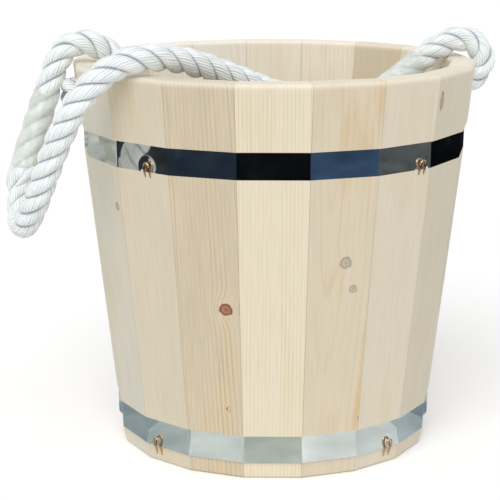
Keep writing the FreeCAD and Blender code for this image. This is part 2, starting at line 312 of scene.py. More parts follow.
# %% A finish for plain parts
def mottled(name, noise, tones, gloss, relief, surface, stretch=(1.0, 1.0, 1.0), spread=(0.0, 1.0)):
    """A finish whose colour, gloss and height all follow one noise."""
    material, tree = new_finish(name)
    place = add(tree, "ShaderNodeTexCoord").outputs["Object"]
    stretched = add(tree, "ShaderNodeMapping", {"Vector": place, "Scale": stretch})
    mottle = add(tree, "ShaderNodeTexNoise", {"Vector": stretched, **noise}).outputs["Fac"]
    share = add(tree, "ShaderNodeMapRange", {
        "Value": mottle, "From Min": spread[0], "From Max": spread[1]})
    tint = add(tree, "ShaderNodeMix", {
        "Factor": share, "A": tones[0], "B": tones[1]}, data_type="RGBA")
    rough = add(tree, "ShaderNodeMapRange", {
        "Value": mottle, "To Min": gloss[0], "To Max": gloss[1]})
    bump = add(tree, "ShaderNodeBump", {
        "Strength": relief[0], "Distance": relief[1], "Height": mottle})
    shader = add(tree, "ShaderNodeBsdfPrincipled", {
        "Base Color": tint, "Roughness": rough, "Normal": bump, **surface})
    add(tree, "ShaderNodeOutputMaterial", [shader])
    return material


print("plain finish ready")

# %% Finish of the loose tails
tail_fibre = mottled(
    "combed_white_synthetic_fibre", {"Scale": 1.0, "Detail": 3.0}, tones=("#c6ccd2", "#ffffff"),
    gloss=(0.25, 0.45), relief=(1.0, 0.4 * MM), stretch=(900.0, 900.0, 90.0),
    surface={"IOR": 1.5, "Sheen Weight": 0.9, "Sheen Roughness": 0.5})
print("tail finish:", tail_fibre.name)

# %% [markdown]
# ## The strands
# A real rope is three strands, each a helix round the rope's line. The tree copies the
# line three times, moves every copy outward by a turning direction, and sweeps a
# slightly flattened round along each. A right-hand turn gives a right-hand, or Z, lay.
# The lay length, the rope for one full turn, is about two and a half diameters.

# %% Lay the strands
lay_length = 45.0 * MM
strand_corners = 20
laid, given = new_tree("laid_strands", "GeometryNodeTree", {
    "Geometry": "Geometry", "Strands": "Int", "Lay Length": "Float", "Spread": "Float",
    "Half Height": "Float", "Half Width": "Float", "Step": "Float", "Finish": "Material"},
    {"Geometry": "Geometry"})
even = measured_line(laid, given)
copies = add(laid, "GeometryNodeDuplicateElements", {
    "Geometry": even, "Amount": given["Strands"]}, domain="SPLINE")
measure = add(laid, "GeometryNodeSplineParameter")
share = add(laid, "ShaderNodeMath", [
    copies.outputs["Duplicate Index"], given["Strands"]], operation="DIVIDE")
turns = add(laid, "ShaderNodeMath", [
    measure.outputs["Length"], given["Lay Length"]], operation="DIVIDE")
whole = add(laid, "ShaderNodeMath", [share, turns], operation="ADD")
angle = add(laid, "ShaderNodeMath", [whole, 2 * math.pi], operation="MULTIPLY")
outward = add(laid, "ShaderNodeVectorRotate", {
    "Vector": add(laid, "GeometryNodeInputNormal"), "Axis": add(laid, "GeometryNodeInputTangent"),
    "Angle": angle}, rotation_type="AXIS_ANGLE")
kept = add(laid, "GeometryNodeStoreNamedAttribute", {
    "Geometry": copies.outputs["Geometry"], "Name": "outward", "Value": outward},
    data_type="FLOAT_VECTOR")
kept_outward = add(laid, "GeometryNodeInputNamedAttribute", {
    "Name": "outward"}, data_type="FLOAT_VECTOR")
offset = add(laid, "ShaderNodeVectorMath", {
    0: kept_outward.outputs["Attribute"], "Scale": given["Spread"]}, operation="SCALE")
helix = add(laid, "GeometryNodeSetPosition", {"Geometry": kept, "Offset": offset})
facing = add(laid, "GeometryNodeSetCurveNormal", {
    "Curve": helix, "Normal": kept_outward.outputs["Attribute"]}, mode="FREE")
section = round_section(laid, strand_corners, given["Half Height"], given["Half Width"])
swept = add(laid, "GeometryNodeCurveToMesh", {
    "Curve": facing, "Profile Curve": section, "Fill Caps": True})
hand_out(laid, swept, given)
strand_sizes = {
    "Strands": 3, "Lay Length": lay_length, "Spread": 5.0 * MM, "Half Height": 4.75 * MM,
    "Half Width": 5.0 * MM, "Step": 1.5 * MM, "Finish": rope_fibre}
rope = made("rope_strands", line_mesh, laid, strand_sizes)

# %% [markdown]
# ## The film round the eyes
# Each eye is closed by tucking the strands back into the rope, and clear film is wound
# tightly round the place. The film hides the grooves but shows them as shallow lobes,
# and it is creased and glossy. The tree takes a stretch of the same line, sweeps a round
# along it, and then moves the skin in and out by lobes that turn with the strands.

# %% Finish of the film
film = mottled(
    "clear_wound_film", {"Scale": 45.0, "Distortion": 1.0}, tones=("#d8dfd4", "#fcfef9"),
    gloss=(0.06, 0.22), relief=(0.8, 1.2 * MM), spread=(0.35, 0.65),
    surface={"IOR": 1.5, "Alpha": 0.5, "Coat Weight": 0.6, "Coat Roughness": 0.05})
print("film finish:", film.name)

# %% Wind the film
edge_length = 5.0 * MM          # over which the film is drawn in towards its ends
edge_depth = 1.6 * MM
film_corners = 72
wound, given = new_tree("wound_film", "GeometryNodeTree", {
    "Geometry": "Geometry", "Start": "Float", "End": "Float", "Lay Length": "Float",
    "Radius": "Float", "Lobe Depth": "Float", "Crease Depth": "Float", "Step": "Float",
    "Finish": "Material"}, {"Geometry": "Geometry"})
even = measured_line(wound, given)
steadied = add(wound, "GeometryNodeStoreNamedAttribute", {
    "Geometry": even, "Name": "outward", "Value": add(wound, "GeometryNodeInputNormal")},
    data_type="FLOAT_VECTOR")
stretch = add(wound, "GeometryNodeTrimCurve", {
    "Curve": steadied, "Start": given["Start"], "End": given["End"]}, mode="LENGTH")
outward = add(wound, "GeometryNodeInputNamedAttribute", {
    "Name": "outward"}, data_type="FLOAT_VECTOR")
facing = add(wound, "GeometryNodeSetCurveNormal", {
    "Curve": stretch, "Normal": outward.outputs["Attribute"]}, mode="FREE")
section = round_section(wound, film_corners, given["Radius"], given["Radius"])
swept = add(wound, "GeometryNodeCurveToMesh", {"Curve": facing, "Profile Curve": section})
along = add(wound, "GeometryNodeInputNamedAttribute", {"Name": "along"})
around = add(wound, "GeometryNodeInputNamedAttribute", {
    "Name": "around"}, data_type="FLOAT_VECTOR")
sides = add(wound, "ShaderNodeSeparateXYZ", [around.outputs["Attribute"]])
angle = add(wound, "ShaderNodeMath", [
    sides.outputs["Y"], sides.outputs["X"]], operation="ARCTAN2")
turns = add(wound, "ShaderNodeMath", [
    along.outputs["Attribute"], given["Lay Length"]], operation="DIVIDE")
turned = add(wound, "ShaderNodeMath", [turns, 2 * math.pi], operation="MULTIPLY")
behind = add(wound, "ShaderNodeMath", [angle, turned], operation="SUBTRACT")
threefold = add(wound, "ShaderNodeMath", [behind, strand_sizes["Strands"]], operation="MULTIPLY")
lobes = add(wound, "ShaderNodeMath", [threefold], operation="COSINE")
lobe_move = add(wound, "ShaderNodeMath", [lobes, given["Lobe Depth"]], operation="MULTIPLY")
folds = add(wound, "ShaderNodeTexNoise", {"Scale": 62.0})
centred = add(wound, "ShaderNodeMath", [folds.outputs["Fac"], noise_middle], operation="SUBTRACT")
fold_move = add(wound, "ShaderNodeMath", [centred, given["Crease Depth"]], operation="MULTIPLY")
uneven = add(wound, "ShaderNodeMath", [lobe_move, fold_move], operation="ADD")
from_start = add(wound, "ShaderNodeMath", [
    along.outputs["Attribute"], given["Start"]], operation="SUBTRACT")
from_end = add(wound, "ShaderNodeMath", [
    given["End"], along.outputs["Attribute"]], operation="SUBTRACT")
from_edge = add(wound, "ShaderNodeMath", [from_start, from_end], operation="MINIMUM")
drawn_in = add(wound, "ShaderNodeMapRange", {
    "Value": from_edge, "From Max": edge_length, "To Min": -edge_depth, "To Max": 0.0},
    interpolation_type="SMOOTHSTEP")
move = add(wound, "ShaderNodeMath", [uneven, drawn_in], operation="ADD")
offset = add(wound, "ShaderNodeVectorMath", {
    0: add(wound, "GeometryNodeInputNormal"), "Scale": move}, operation="SCALE")
shaped = add(wound, "GeometryNodeSetPosition", {"Geometry": swept, "Offset": offset})
hand_out(wound, shaped, given)


def length_near(place):
    """How far along the rope's line the point nearest to a place in millimetres is."""
    target = Vector(place) * MM
    nearest = min(range(len(rope_path)), key=lambda i: (rope_path[i] - target).length)
    return path_lengths[nearest]


left_film_foot = (-187.2, -10.3, 207.3)
film_ends = {
    "right_film": ((110.0, -9.0, 284.4), (56.0, -31.5, 258.5)),
    "left_film": (left_film_foot, (-167.1, -2.6, 267.9)),
}
films = []
for name, (start, end) in film_ends.items():
    films.append(made(name, line_mesh, wound, {
        "Start": length_near(start), "End": length_near(end), "Lay Length": lay_length,
        "Radius": 9.95 * MM, "Lobe Depth": 0.28 * MM, "Crease Depth": 3.8 * MM,
        "Step": 1.0 * MM, "Finish": film}))

# %% [markdown]
# ## Loose tails below the left film
# Where the left eye's strands are tucked in, their last ends stick out below the film as
# short bright tufts that lie on the rope. Each follows a short line from under the film,
# partly round the rope. Its curve has a round bevel and a radius at each point, so that
# it gets thinner towards its tip.

# %% Lay the loose tails
# where each starts, in degrees round the rope, and its length
tail_shapes = {"one": (15.0, 22.0), "two": (135.0, 16.0), "three": (255.0, 27.0)}
tail_offsets = (7.6, 9.4, 9.9, 9.6)    # from the rope's line
tail_radii = (3.4, 3.2, 2.4, 0.7)
tail_turn = 75.0                # degrees round the rope from root to tip
tail_root = 3.0                 # of the tail under the film
left_edge = length_near(left_film_foot)
tails = []
for title, (start_angle, length) in tail_shapes.items():
    places = []
    for index, offset in enumerate(tail_offsets):
        share = index / (len(tail_offsets) - 1)
        reach = left_edge + tail_root * MM - share * length * MM
        nearest = min(range(len(path_lengths)), key=lambda i: abs(path_lengths[i] - reach))
        ahead = (rope_path[nearest + 1] - rope_path[nearest - 1]).normalized()
        aside = ahead.cross(Vector((0.0, 1.0, 0.0))).normalized()
        turn = math.radians(start_angle - share * tail_turn)
        off = Matrix.Rotation(turn, 3, ahead) @ aside
        places.append(rope_path[nearest] + off * offset * MM)
    tail_data = nurbs_line("tail_line", places, 8, bevel=1.0 * MM)
    for point, radius in zip(tail_data.splines[0].points, tail_radii):
        point.radius = radius
    tail_mesh = mesh_of(tail_data)
    tail_mesh.shade_smooth()
    tail_mesh.materials.clear()
    tail_mesh.materials.append(tail_fibre)
    tails.append(placed("strand_tail_" + title, tail_mesh))
print("loose tails:", len(tails))

# %% [markdown]
# ## Staples and rivets
# Coppered wire staples hold up the lower edge of each hoop, and two domed rivets close
# the lap at the back. One staple and one rivet are modelled, and one tree puts copies
# of either at points that carry their turn, so that all stay alike.

# %% Finish of the wire and the rivets
copper_wire = mottled(
    "coppered_steel_wire", {"Scale": 900.0, "Detail": 3.0}, tones=("#9c744e", "#eac6a0"),
    gloss=(0.154, 0.308), relief=(0.3, 0.05 * MM), surface={"Metallic": 1.0})
rivet_steel = mottled(
    "turned_stainless_rivet", {"Scale": 1200.0, "Detail": 3.0}, tones=("#8e9092", "#d8dadb"),
    gloss=(0.196, 0.392), relief=(0.3, 0.05 * MM), surface={"Metallic": 1.0})
print("metal finishes:", copper_wire.name, rivet_steel.name)

# %% Model one staple and one rivet
wire_radius = 0.66 * MM
wire_points = (
    # out from the middle of the strip's edge, to the side, and up along the legs
    (0.75, -2.4, -9.0), (0.75, -2.4, -1.0), (0.6, -2.4, 1.0), (-0.7, -2.4, 5.4),
    (-1.2, 0.0, 7.2),
    (-0.7, 2.4, 5.4), (0.6, 2.4, 1.0), (0.75, 2.4, -1.0), (0.75, 2.4, -9.0),
)
wire_places = [Vector(place) * MM for place in wire_points]
staple_line = nurbs_line("staple_line", wire_places, 6, bevel=wire_radius, bevel_steps=3)
staple_mesh = mesh_of(staple_line)
staple_mesh.shade_smooth()
staple = bpy.data.objects.new("one_staple", staple_mesh)

dome = ((0.0, 1.30), (1.3, 1.22), (2.3, 0.92), (2.95, 0.48), (3.2, 0.0), (3.2, -0.05))
dome_sides = 24
corners = [(dome[0][1] * MM, 0.0, 0.0)]
faces = []
for radius, height in dome[1:]:
    for step in range(dome_sides):
        turn = 2 * math.pi * step / dome_sides
        corners.append((height * MM, radius * MM * math.cos(turn), radius * MM * math.sin(turn)))
for step in range(dome_sides):
    after = (step + 1) % dome_sides
    faces.append((0, 1 + step, 1 + after))
    for level in range(len(dome) - 2):
        inner = 1 + level * dome_sides
        outer = inner + dome_sides
        faces.append((inner + step, outer + step, outer + after, inner + after))
last = 1 + (len(dome) - 2) * dome_sides
faces.append([last + step for step in reversed(range(dome_sides))])
rivet_mesh = bpy.data.meshes.new("one_rivet")
rivet_mesh.from_pydata(corners, [], faces)
rivet_mesh.shade_smooth()
rivet = bpy.data.objects.new("one_rivet", rivet_mesh)
print("staple:", len(staple_mesh.vertices), "rivet:", len(rivet_mesh.vertices), "vertices")

# %% Put them in place
fixed, given = new_tree("fasteners", "GeometryNodeTree", {
    "Geometry": "Geometry", "Fastener": "Object", "Finish": "Material"},
    {"Geometry": "Geometry"})
model = add(fixed, "GeometryNodeObjectInfo", {
    "Object": given["Fastener"]}, transform_space="ORIGINAL")
turn = add(fixed, "GeometryNodeInputNamedAttribute", {"Name": "turn"}, data_type="FLOAT_VECTOR")
rotation = add(fixed, "FunctionNodeEulerToRotation", [turn.outputs["Attribute"]])
copies = add(fixed, "GeometryNodeInstanceOnPoints", {
    "Points": given["Geometry"], "Instance": model.outputs["Geometry"], "Rotation": rotation})
hand_out(fixed, copies, given)

stave_count = 18
stave_step = 360.0 / stave_count       # in degrees


def fasten(name, kind, places, model, finish):
    """Copies of one model at places that have their turns."""
    points = bpy.data.meshes.new(name)
    points.from_pydata([place for place, turn in places], [], [])
    turns = points.attributes.new("turn", "FLOAT_VECTOR", "POINT")
    for item, (place, turn) in zip(turns.data, places):
        item.vector = turn
    return made(name + kind, points, fixed, {"Fastener": model, "Finish": finish})


def on_stave(bearing, out, side, height):
    """A place beside a bearing, on the flat of its stave, in metres, and the stave's turn."""
    middle = stave_step * round(bearing / stave_step)
    slide = out * math.tan(math.radians(bearing - middle)) + side
    turn = math.radians(middle)
    return Matrix.Rotation(turn, 3, "Z") @ Vector((out * MM, slide * MM, height * MM)), turn


staple_lean = math.radians(26.0)
staple_middle = Vector((0.0, 0.0, 3.5 * MM))      # above the hoop's edge
hoop_fasteners = {
    # the staples' reach, height and bearings, then the rivets' reach, height and lean
    "upper_hoop": (140.2, 220.5, (-138.0, -53.5, 42.0, 126.5), (141.0, 230.0, 0.0225)),
    "lower_hoop": (118.3, 12.5, (-145.0, -55.0, 35.0, 125.0), (119.05, 22.5, 0.017)),
}
lap_bearing = 80.0
rivet_half_spacing = 6.5
fasteners = {}
staple_centres = {}
for hoop, (radius, edge, bearings, (rivet_radius, height, lean)) in hoop_fasteners.items():
    places = []
    staple_centres[hoop] = []
    for bearing in bearings:
        place, turn = on_stave(bearing, radius, 0.0, edge)
        places.append((place, (0.0, staple_lean, turn)))
        staple_centres[hoop].append(place + staple_middle)
    name = hoop + "_staples"
    fasteners[name] = fasten(name, "_wire", places, staple, copper_wire)
    places = []
    for side in (-rivet_half_spacing, rivet_half_spacing):
        place, turn = on_stave(lap_bearing, rivet_radius, side, height)
        places.append((place, (0.0, lean, turn)))
    name = hoop + "_rivets"
    fasteners[name] = fasten(name, "_domed", places, rivet, rivet_steel)

# %% [markdown]
# ## The wood
# The staves are flat-sawn and rift-sawn spruce or pine, planed and left nearly raw. A
# board is a cut through a tree: its lines are growth rings round a pith that lies
# somewhere beside or behind the board. So the finish measures the distance from a pith
# line and draws a ring every few millimetres: a pith far to the side gives straight
# close lines, one just behind the face gives arches. Knots push the rings aside.

# %% A growth-ring pattern for any board
wander_scale = (16.0, 16.0, 3.5)       # all three are to a metre, across, across and along
fibre_scale = (1500.0, 1500.0, 28.0)
patch_scale = (45.0, 45.0, 9.0)
rings, given = new_tree("growth_rings", "ShaderNodeTree", {
    "Place": "Vector", "Pith": "Vector", "Slope": "Float", "Ring Width": "Float",
    "Warp": "Float", "Push": "Float", "Seed": "Float"},
    {"Late Wood": "Float", "Fibre": "Float", "Patch": "Float"})
where = add(rings, "ShaderNodeSeparateXYZ", [given["Place"]])
seed = add(rings, "ShaderNodeCombineXYZ", [given["Seed"], 0.0, 0.0])
moved = add(rings, "ShaderNodeVectorMath", [given["Place"], seed], operation="ADD")
wander_place = add(rings, "ShaderNodeVectorMath", [moved, wander_scale], operation="MULTIPLY")
wander = add(rings, "ShaderNodeTexNoise", {"Vector": wander_place, "Scale": 1.0})
wandering = add(rings, "ShaderNodeMath", [
    wander.outputs["Fac"], noise_middle], operation="SUBTRACT")
from_pith = add(rings, "ShaderNodeVectorMath", [
    given["Place"], given["Pith"]], operation="SUBTRACT")
apart = add(rings, "ShaderNodeSeparateXYZ", [from_pith])
sloped = add(rings, "ShaderNodeMath", [
    where.outputs["Z"], given["Slope"], apart.outputs["X"]], operation="MULTIPLY_ADD")
square_on = add(rings, "ShaderNodeCombineXYZ", [sloped, apart.outputs["Y"], 0.0])
distance = add(rings, "ShaderNodeVectorMath", [square_on], operation="LENGTH")
warped = add(rings, "ShaderNodeMath", [
    wandering, given["Warp"], distance.outputs["Value"]], operation="MULTIPLY_ADD")
pushed = add(rings, "ShaderNodeMath", [warped, given["Push"]], operation="ADD")
count = add(rings, "ShaderNodeMath", [pushed, given["Ring Width"]], operation="DIVIDE")
year = add(rings, "ShaderNodeMath", [count], operation="FRACT")
late = add(rings, "ShaderNodeValToRGB", [year])
stops = late.color_ramp.elements
stops[0].color = (0.30, 0.30, 0.30, 1.0)
stops[1].color = (0.55, 0.55, 0.55, 1.0)
for share, level in ((0.08, 0.05), (0.45, 0.0), (0.75, 0.30), (0.92, 1.0)):
    stops.new(share).color = (level, level, level, 1.0)
year_number = add(rings, "ShaderNodeMath", [count], operation="FLOOR")
year_seed = add(rings, "ShaderNodeMath", [year_number, given["Seed"]], operation="ADD")
chance = add(rings, "ShaderNodeTexWhiteNoise", {"W": year_seed}, noise_dimensions="1D")
year_depth = add(rings, "ShaderNodeMapRange", {"Value": chance.outputs["Value"], "To Min": 0.15})
dated = add(rings, "ShaderNodeMath", [late.outputs["Color"], year_depth], operation="MULTIPLY")
fibre_place = add(rings, "ShaderNodeVectorMath", [moved, fibre_scale], operation="MULTIPLY")
fibre = add(rings, "ShaderNodeTexNoise", {
    "Vector": fibre_place, "Scale": 1.0, "Detail": 4.0, "Roughness": 0.62})
patch_place = add(rings, "ShaderNodeVectorMath", [moved, patch_scale], operation="MULTIPLY")
patch = add(rings, "ShaderNodeTexNoise", {"Vector": patch_place, "Scale": 1.0, "Detail": 3.0})
fade = add(rings, "ShaderNodeMapRange", {
    "Value": patch.outputs["Fac"], "From Min": 0.36, "From Max": 0.62, "To Min": 0.30})
faded = add(rings, "ShaderNodeMath", [dated, fade], operation="MULTIPLY")
add(rings, "NodeGroupOutput", [faded, fibre.outputs["Fac"], patch.outputs["Fac"]])
print("growth rings:", len(rings.nodes), "nodes")

# %% A knot for any board
knot_unevenness = 0.5
rim_reach = 0.82                # of the knot's size
through_board = (0.25, 1.0, 1.0)       # a knot goes four times as deep as it is wide
knot, given = new_tree("knot", "ShaderNodeTree", {
    "Place": "Vector", "Middle": "Vector", "Size": "Vector"},
    {"Push": "Float", "Rim": "Float", "Heart": "Float"})
off = add(knot, "ShaderNodeVectorMath", [given["Place"], given["Middle"]], operation="SUBTRACT")
flat = add(knot, "ShaderNodeVectorMath", [off, through_board], operation="MULTIPLY")
scaled = add(knot, "ShaderNodeVectorMath", [flat, given["Size"]], operation="DIVIDE")
rough = add(knot, "ShaderNodeTexNoise", {"Vector": scaled, "Scale": 1.6})
reach = add(knot, "ShaderNodeVectorMath", [scaled], operation="LENGTH")
uneven = add(knot, "ShaderNodeMath", [
    rough.outputs["Fac"], knot_unevenness, reach.outputs["Value"]], operation="MULTIPLY_ADD")
near = add(knot, "ShaderNodeMath", [uneven, knot_unevenness / 2], operation="SUBTRACT")
push_shape = add(knot, "ShaderNodeMapRange", {
    "Value": near, "From Min": 4.0, "From Max": 0.6}, interpolation_type="SMOOTHERSTEP")
rim_off = add(knot, "ShaderNodeMath", [near, rim_reach], operation="SUBTRACT")
rim_size = add(knot, "ShaderNodeMath", [rim_off], operation="ABSOLUTE")
rim = add(knot, "ShaderNodeMapRange", {
    "Value": rim_size, "From Min": 0.32, "From Max": 0.05}, interpolation_type="SMOOTHSTEP")
heart = add(knot, "ShaderNodeMapRange", {
    "Value": near, "From Min": 1.0, "From Max": 0.72}, interpolation_type="SMOOTHSTEP")
pip = add(knot, "ShaderNodeMapRange", {
    "Value": near, "From Min": 0.55, "From Max": 0.1, "To Max": 0.75},
    interpolation_type="SMOOTHSTEP")
dark = add(knot, "ShaderNodeMath", [rim, pip], operation="MAXIMUM")
add(knot, "NodeGroupOutput", [push_shape, dark, heart])
print("knot:", len(knot.nodes), "nodes")

# %% The finish of one board
face_lean = math.radians(6.39)
face_reach = 115.0 * MM         # from the origin, square to the stave's leaning flat
face_start = 12.9 * MM          # up that flat, from there to the stave's foot
edge_slope = math.tan(math.radians(stave_step / 2))    # of a stave's edge, from above
knot_push = 3.2 * MM            # of the rings beside a knot
late_relief = 0.5               # of the late wood, against 1 for the fibre


def softwood(name, bearing, look):
    """Planed softwood as the stave or board at a bearing shows it."""
    material, tree = new_finish(name)
    solid_place = add(tree, "ShaderNodeTexCoord").outputs["Object"]
    turned = add(tree, "ShaderNodeMapping", {
        "Vector": solid_place, "Rotation": (0.0, 0.0, -bearing)})
    place = add(tree, "ShaderNodeMapping", {
        "Vector": turned, "Rotation": (0.0, -look["lean"], 0.0), "Location": look["start"]})
    marks = {"Push": None, "Rim": None, "Heart": None}
    for across, up, width, height, strength in look.get("knots", ()):
        one = add(tree, "ShaderNodeGroup", {
            "Place": place, "Middle": (0.0, across * MM, up * MM),
            "Size": (height * MM, width * MM, height * MM)}, node_tree=knot)
        for title, size, joined in (("Push", -knot_push, "ADD"), ("Rim", 1.0, "MAXIMUM"),
                                    ("Heart", 1.0, "MAXIMUM")):
            mark = add(tree, "ShaderNodeMath", [
                one.outputs[title], size * strength], operation="MULTIPLY")
            if marks[title] is not None:
                mark = add(tree, "ShaderNodeMath", [marks[title], mark], operation=joined)
            marks[title] = mark
    grain = add(tree, "ShaderNodeGroup", {
        "Place": place, "Pith": (*(part * MM for part in look["pith"]), 0.0),
        "Slope": look["slope"], "Ring Width": look["ring"] * MM, "Warp": look["warp"] * MM,
        "Seed": look["seed"], "Push": marks["Push"]}, node_tree=rings)
    lines = add(tree, "ShaderNodeMath", [
        grain.outputs["Late Wood"], look["lines"]], operation="MULTIPLY")
    body = add(tree, "ShaderNodeMix", {
        "Factor": lines, "A": look["early"], "B": look["late"]}, data_type="RGBA")
    streak = add(tree, "ShaderNodeMapRange", {
        "Value": grain.outputs["Fibre"], "From Min": 0.30, "From Max": 0.70,
        "To Min": 1.0 - look["fibre"], "To Max": 1.0 + look["fibre"] / 2})
    cloud = add(tree, "ShaderNodeMapRange", {
        "Value": grain.outputs["Patch"], "From Min": 0.30, "From Max": 0.70,
        "To Min": 1.0 - look["patch"], "To Max": 1.0 + look["patch"]})
    level = add(tree, "ShaderNodeMath", [streak, cloud], operation="MULTIPLY")
    toned = add(tree, "ShaderNodeVectorMath", {0: body, "Scale": level}, operation="SCALE")
    resin = add(tree, "ShaderNodeMapRange", {
        "Value": grain.outputs["Patch"], "From Min": 0.50, "From Max": 0.72,
        "To Max": look["resin"]}, interpolation_type="SMOOTHSTEP")
    toned = add(tree, "ShaderNodeMix", {
        "Factor": resin, "A": toned, "B": "#c9a870"}, data_type="RGBA")
    for title in ("Heart", "Rim"):
        if marks[title] is not None:
            toned = add(tree, "ShaderNodeMix", {
                "Factor": marks[title], "A": toned, "B": look[title.lower()]}, data_type="RGBA")
    parts = add(tree, "ShaderNodeSeparateXYZ", [turned])
    side = add(tree, "ShaderNodeMath", [parts.outputs["Y"]], operation="ABSOLUTE")
    reach = add(tree, "ShaderNodeMath", [parts.outputs["X"], edge_slope], operation="MULTIPLY")
    spare = add(tree, "ShaderNodeMath", [reach, side], operation="SUBTRACT")
    seam = add(tree, "ShaderNodeMapRange", {
        "Value": spare, "From Min": 0.6 * MM, "From Max": 0.05 * MM, "To Max": look["seam"]})
    joined = add(tree, "ShaderNodeMix", {
        "Factor": seam, "A": toned, "B": "#8f7c62"}, data_type="RGBA")
    # The top few millimetres of each stave, with its rim and rounded edges, are mixed towards a
    # pale cream.
    top = add(tree, "ShaderNodeMapRange", {
        "Value": parts.outputs["Z"], "From Min": 281.0 * MM, "From Max": 284.5 * MM,
        "To Max": 0.36})
    paler_at_rim = add(tree, "ShaderNodeMix", {
        "Factor": top, "A": joined, "B": "#f4eee0"}, data_type="RGBA")
    gloss = add(tree, "ShaderNodeMapRange", {
        "Value": grain.outputs["Fibre"], "To Min": 0.42, "To Max": 0.66})
    grain_height = add(tree, "ShaderNodeMath", [
        grain.outputs["Late Wood"], late_relief, grain.outputs["Fibre"]], operation="MULTIPLY_ADD")
    relief = add(tree, "ShaderNodeBump", {
        "Strength": 0.5, "Distance": 0.10 * MM, "Height": grain_height})
    shader = add(tree, "ShaderNodeBsdfPrincipled", {
        "Base Color": paler_at_rim, "Roughness": gloss, "Normal": relief, "IOR": 1.45})
    add(tree, "ShaderNodeOutputMaterial", [shader])
    return material

# %% [markdown]
# ## One finish for each stave
# No two staves are alike, so each has its own pith, ring width and tones. Those in front
# are, from left to right, greyish with a small knot, pinkish with brown lines and a large
# knot, creamy with fine straight lines, beige with tall arches and two grey knots, and
# light greyish. The staves of the inside wall seen over the rim, 4 to 7, get paler tones
# as painted light against the shade inside the bucket, and stave 3 a darker tone.

# %% Finish the staves
plain_look = {
    "early": "#ebe2cf", "late": "#cdb994", "pith": (-60.0, 140.0), "slope": 0.02,
    "ring": 2.6, "warp": 3.0, "lines": 0.5, "patch": 0.03, "seed": 0.0,
    "rim": "#8a5a3c", "heart": "#a9805a", "resin": 0.2, "fibre": 0.08, "seam": 0.20,
    "lean": face_lean, "start": (-face_reach, 0.0, -face_start),
}
stave_looks = {
    # Staves 3 to 7 make the inside wall seen over the rim: the paler tones of 4 to 7 are painted
    # light against the shade inside the bucket, and stave 3 is given a darker tone.
    3: {"early": "#d9ccb3"},
    4: {"early": "#f0e7d6"},
    5: {"early": "#eee8d6"},
    6: {"early": "#f2ecdf"},
    7: {"early": "#f4efe4"},
    11: {"early": "#d8d2c2", "late": "#c6b696", "pith": (-70.0, 120.0), "ring": 3.0,
         "lines": 0.25, "knots": ((17.0, 192.0, 2.6, 3.0, 0.9),), "rim": "#9a6a4c",
         "heart": "#d8bfa2"},
    12: {"early": "#d7ccb5", "late": "#c8b48f", "pith": (-90.0, -110.0), "ring": 3.0,
         "lines": 0.30},
    13: {"early": "#d2c4aa", "late": "#a98e68", "pith": (-45.0, 64.0), "ring": 2.7,
         "slope": -0.03, "lines": 0.8, "patch": 0.05, "fibre": 0.15,
         "knots": ((12.8, 128.0, 5.0, 4.4, 1.0), (10.0, 52.8, 0.9, 1.3, 0.7)),
         "rim": "#845040", "heart": "#ac7a5a"},
    14: {"early": "#e3d9c2", "late": "#c8ad72", "pith": (-30.0, 190.0), "ring": 2.6,
         "lines": 0.62, "patch": 0.02, "slope": 0.01},
    15: {"early": "#dacdb5", "late": "#bb9a62", "pith": (-20.0, -9.0), "ring": 4.6,
         "slope": -0.075, "warp": 5.0, "lines": 0.34, "patch": 0.04, "resin": 0.55,
         "knots": ((4.4, 161.2, 4.4, 4.4, 0.6), (10.8, 141.6, 3.0, 3.0, 0.55),
                   (20.8, 42.5, 0.8, 1.2, 0.6)),
         "rim": "#878074", "heart": "#b3a998"},
    16: {"early": "#e0d6c1", "late": "#cdbd9f", "pith": (-70.0, -130.0), "ring": 2.4,
         "lines": 0.22},
    17: {"early": "#ddd4bf", "late": "#c7b795", "pith": (-50.0, 90.0), "ring": 2.8,
         "lines": 0.25, "knots": ((-20.3, 268.8, 3.0, 7.0, 0.5),)},
}
seed_step = 0.37                # in metres, so that no two boards share a pattern
for number in range(1, stave_count + 1):
    look = {**plain_look, "seed": number * seed_step}
    if number % 3 == 0:
        look.update({"pith": (-34.0, 12.0), "slope": 0.08, "ring": 3.4})
    if number % 3 == 1:
        look.update({"pith": (-80.0, -70.0), "slope": -0.03, "ring": 2.9,
                     "early": "#e6dac4"})
    look.update(stave_looks.get(number, {}))
    bearing = math.radians(stave_step * (number - 1))
    name = f"stave_{number:02d}"
    dress(name, softwood("planed_softwood_" + name, bearing, look))
print("staves finished")

# %% Finish the bottom
lying_look = {**plain_look, "lean": math.radians(-90.0), "start": (0.0, 0.0, 0.0), "seam": 0.0}
for number in range(1, 5):
    look = {**lying_look, "seed": 11.0 + number, "pith": (-40.0, 30.0 * number - 70.0),
            "early": "#dfd3bb", "late": "#c0a880", "ring": 3.0}
    board = f"bottom_board_{number}"
    dress(board, softwood("planed_softwood_" + board, 0.0, look))
dress("bottom_splines", softwood("planed_softwood_splines", 0.0, {**lying_look, "seed": 17.0}))
print("bottom finished")

# %% [markdown]
# ## The hoops
# The hoops are thin stainless strip, rolled bright, so they mirror what lies round them,
# pale near by and dark beyond, where the painted reflection cards lie. Rolling leaves fine
# lines round the strip, handling leaves dull smudges, and each staple dents the strip a little.

# %% Finish of the steel
rolling_scale = (12.0, 12.0, 2600.0)   # lines to a metre, round the strip and across it


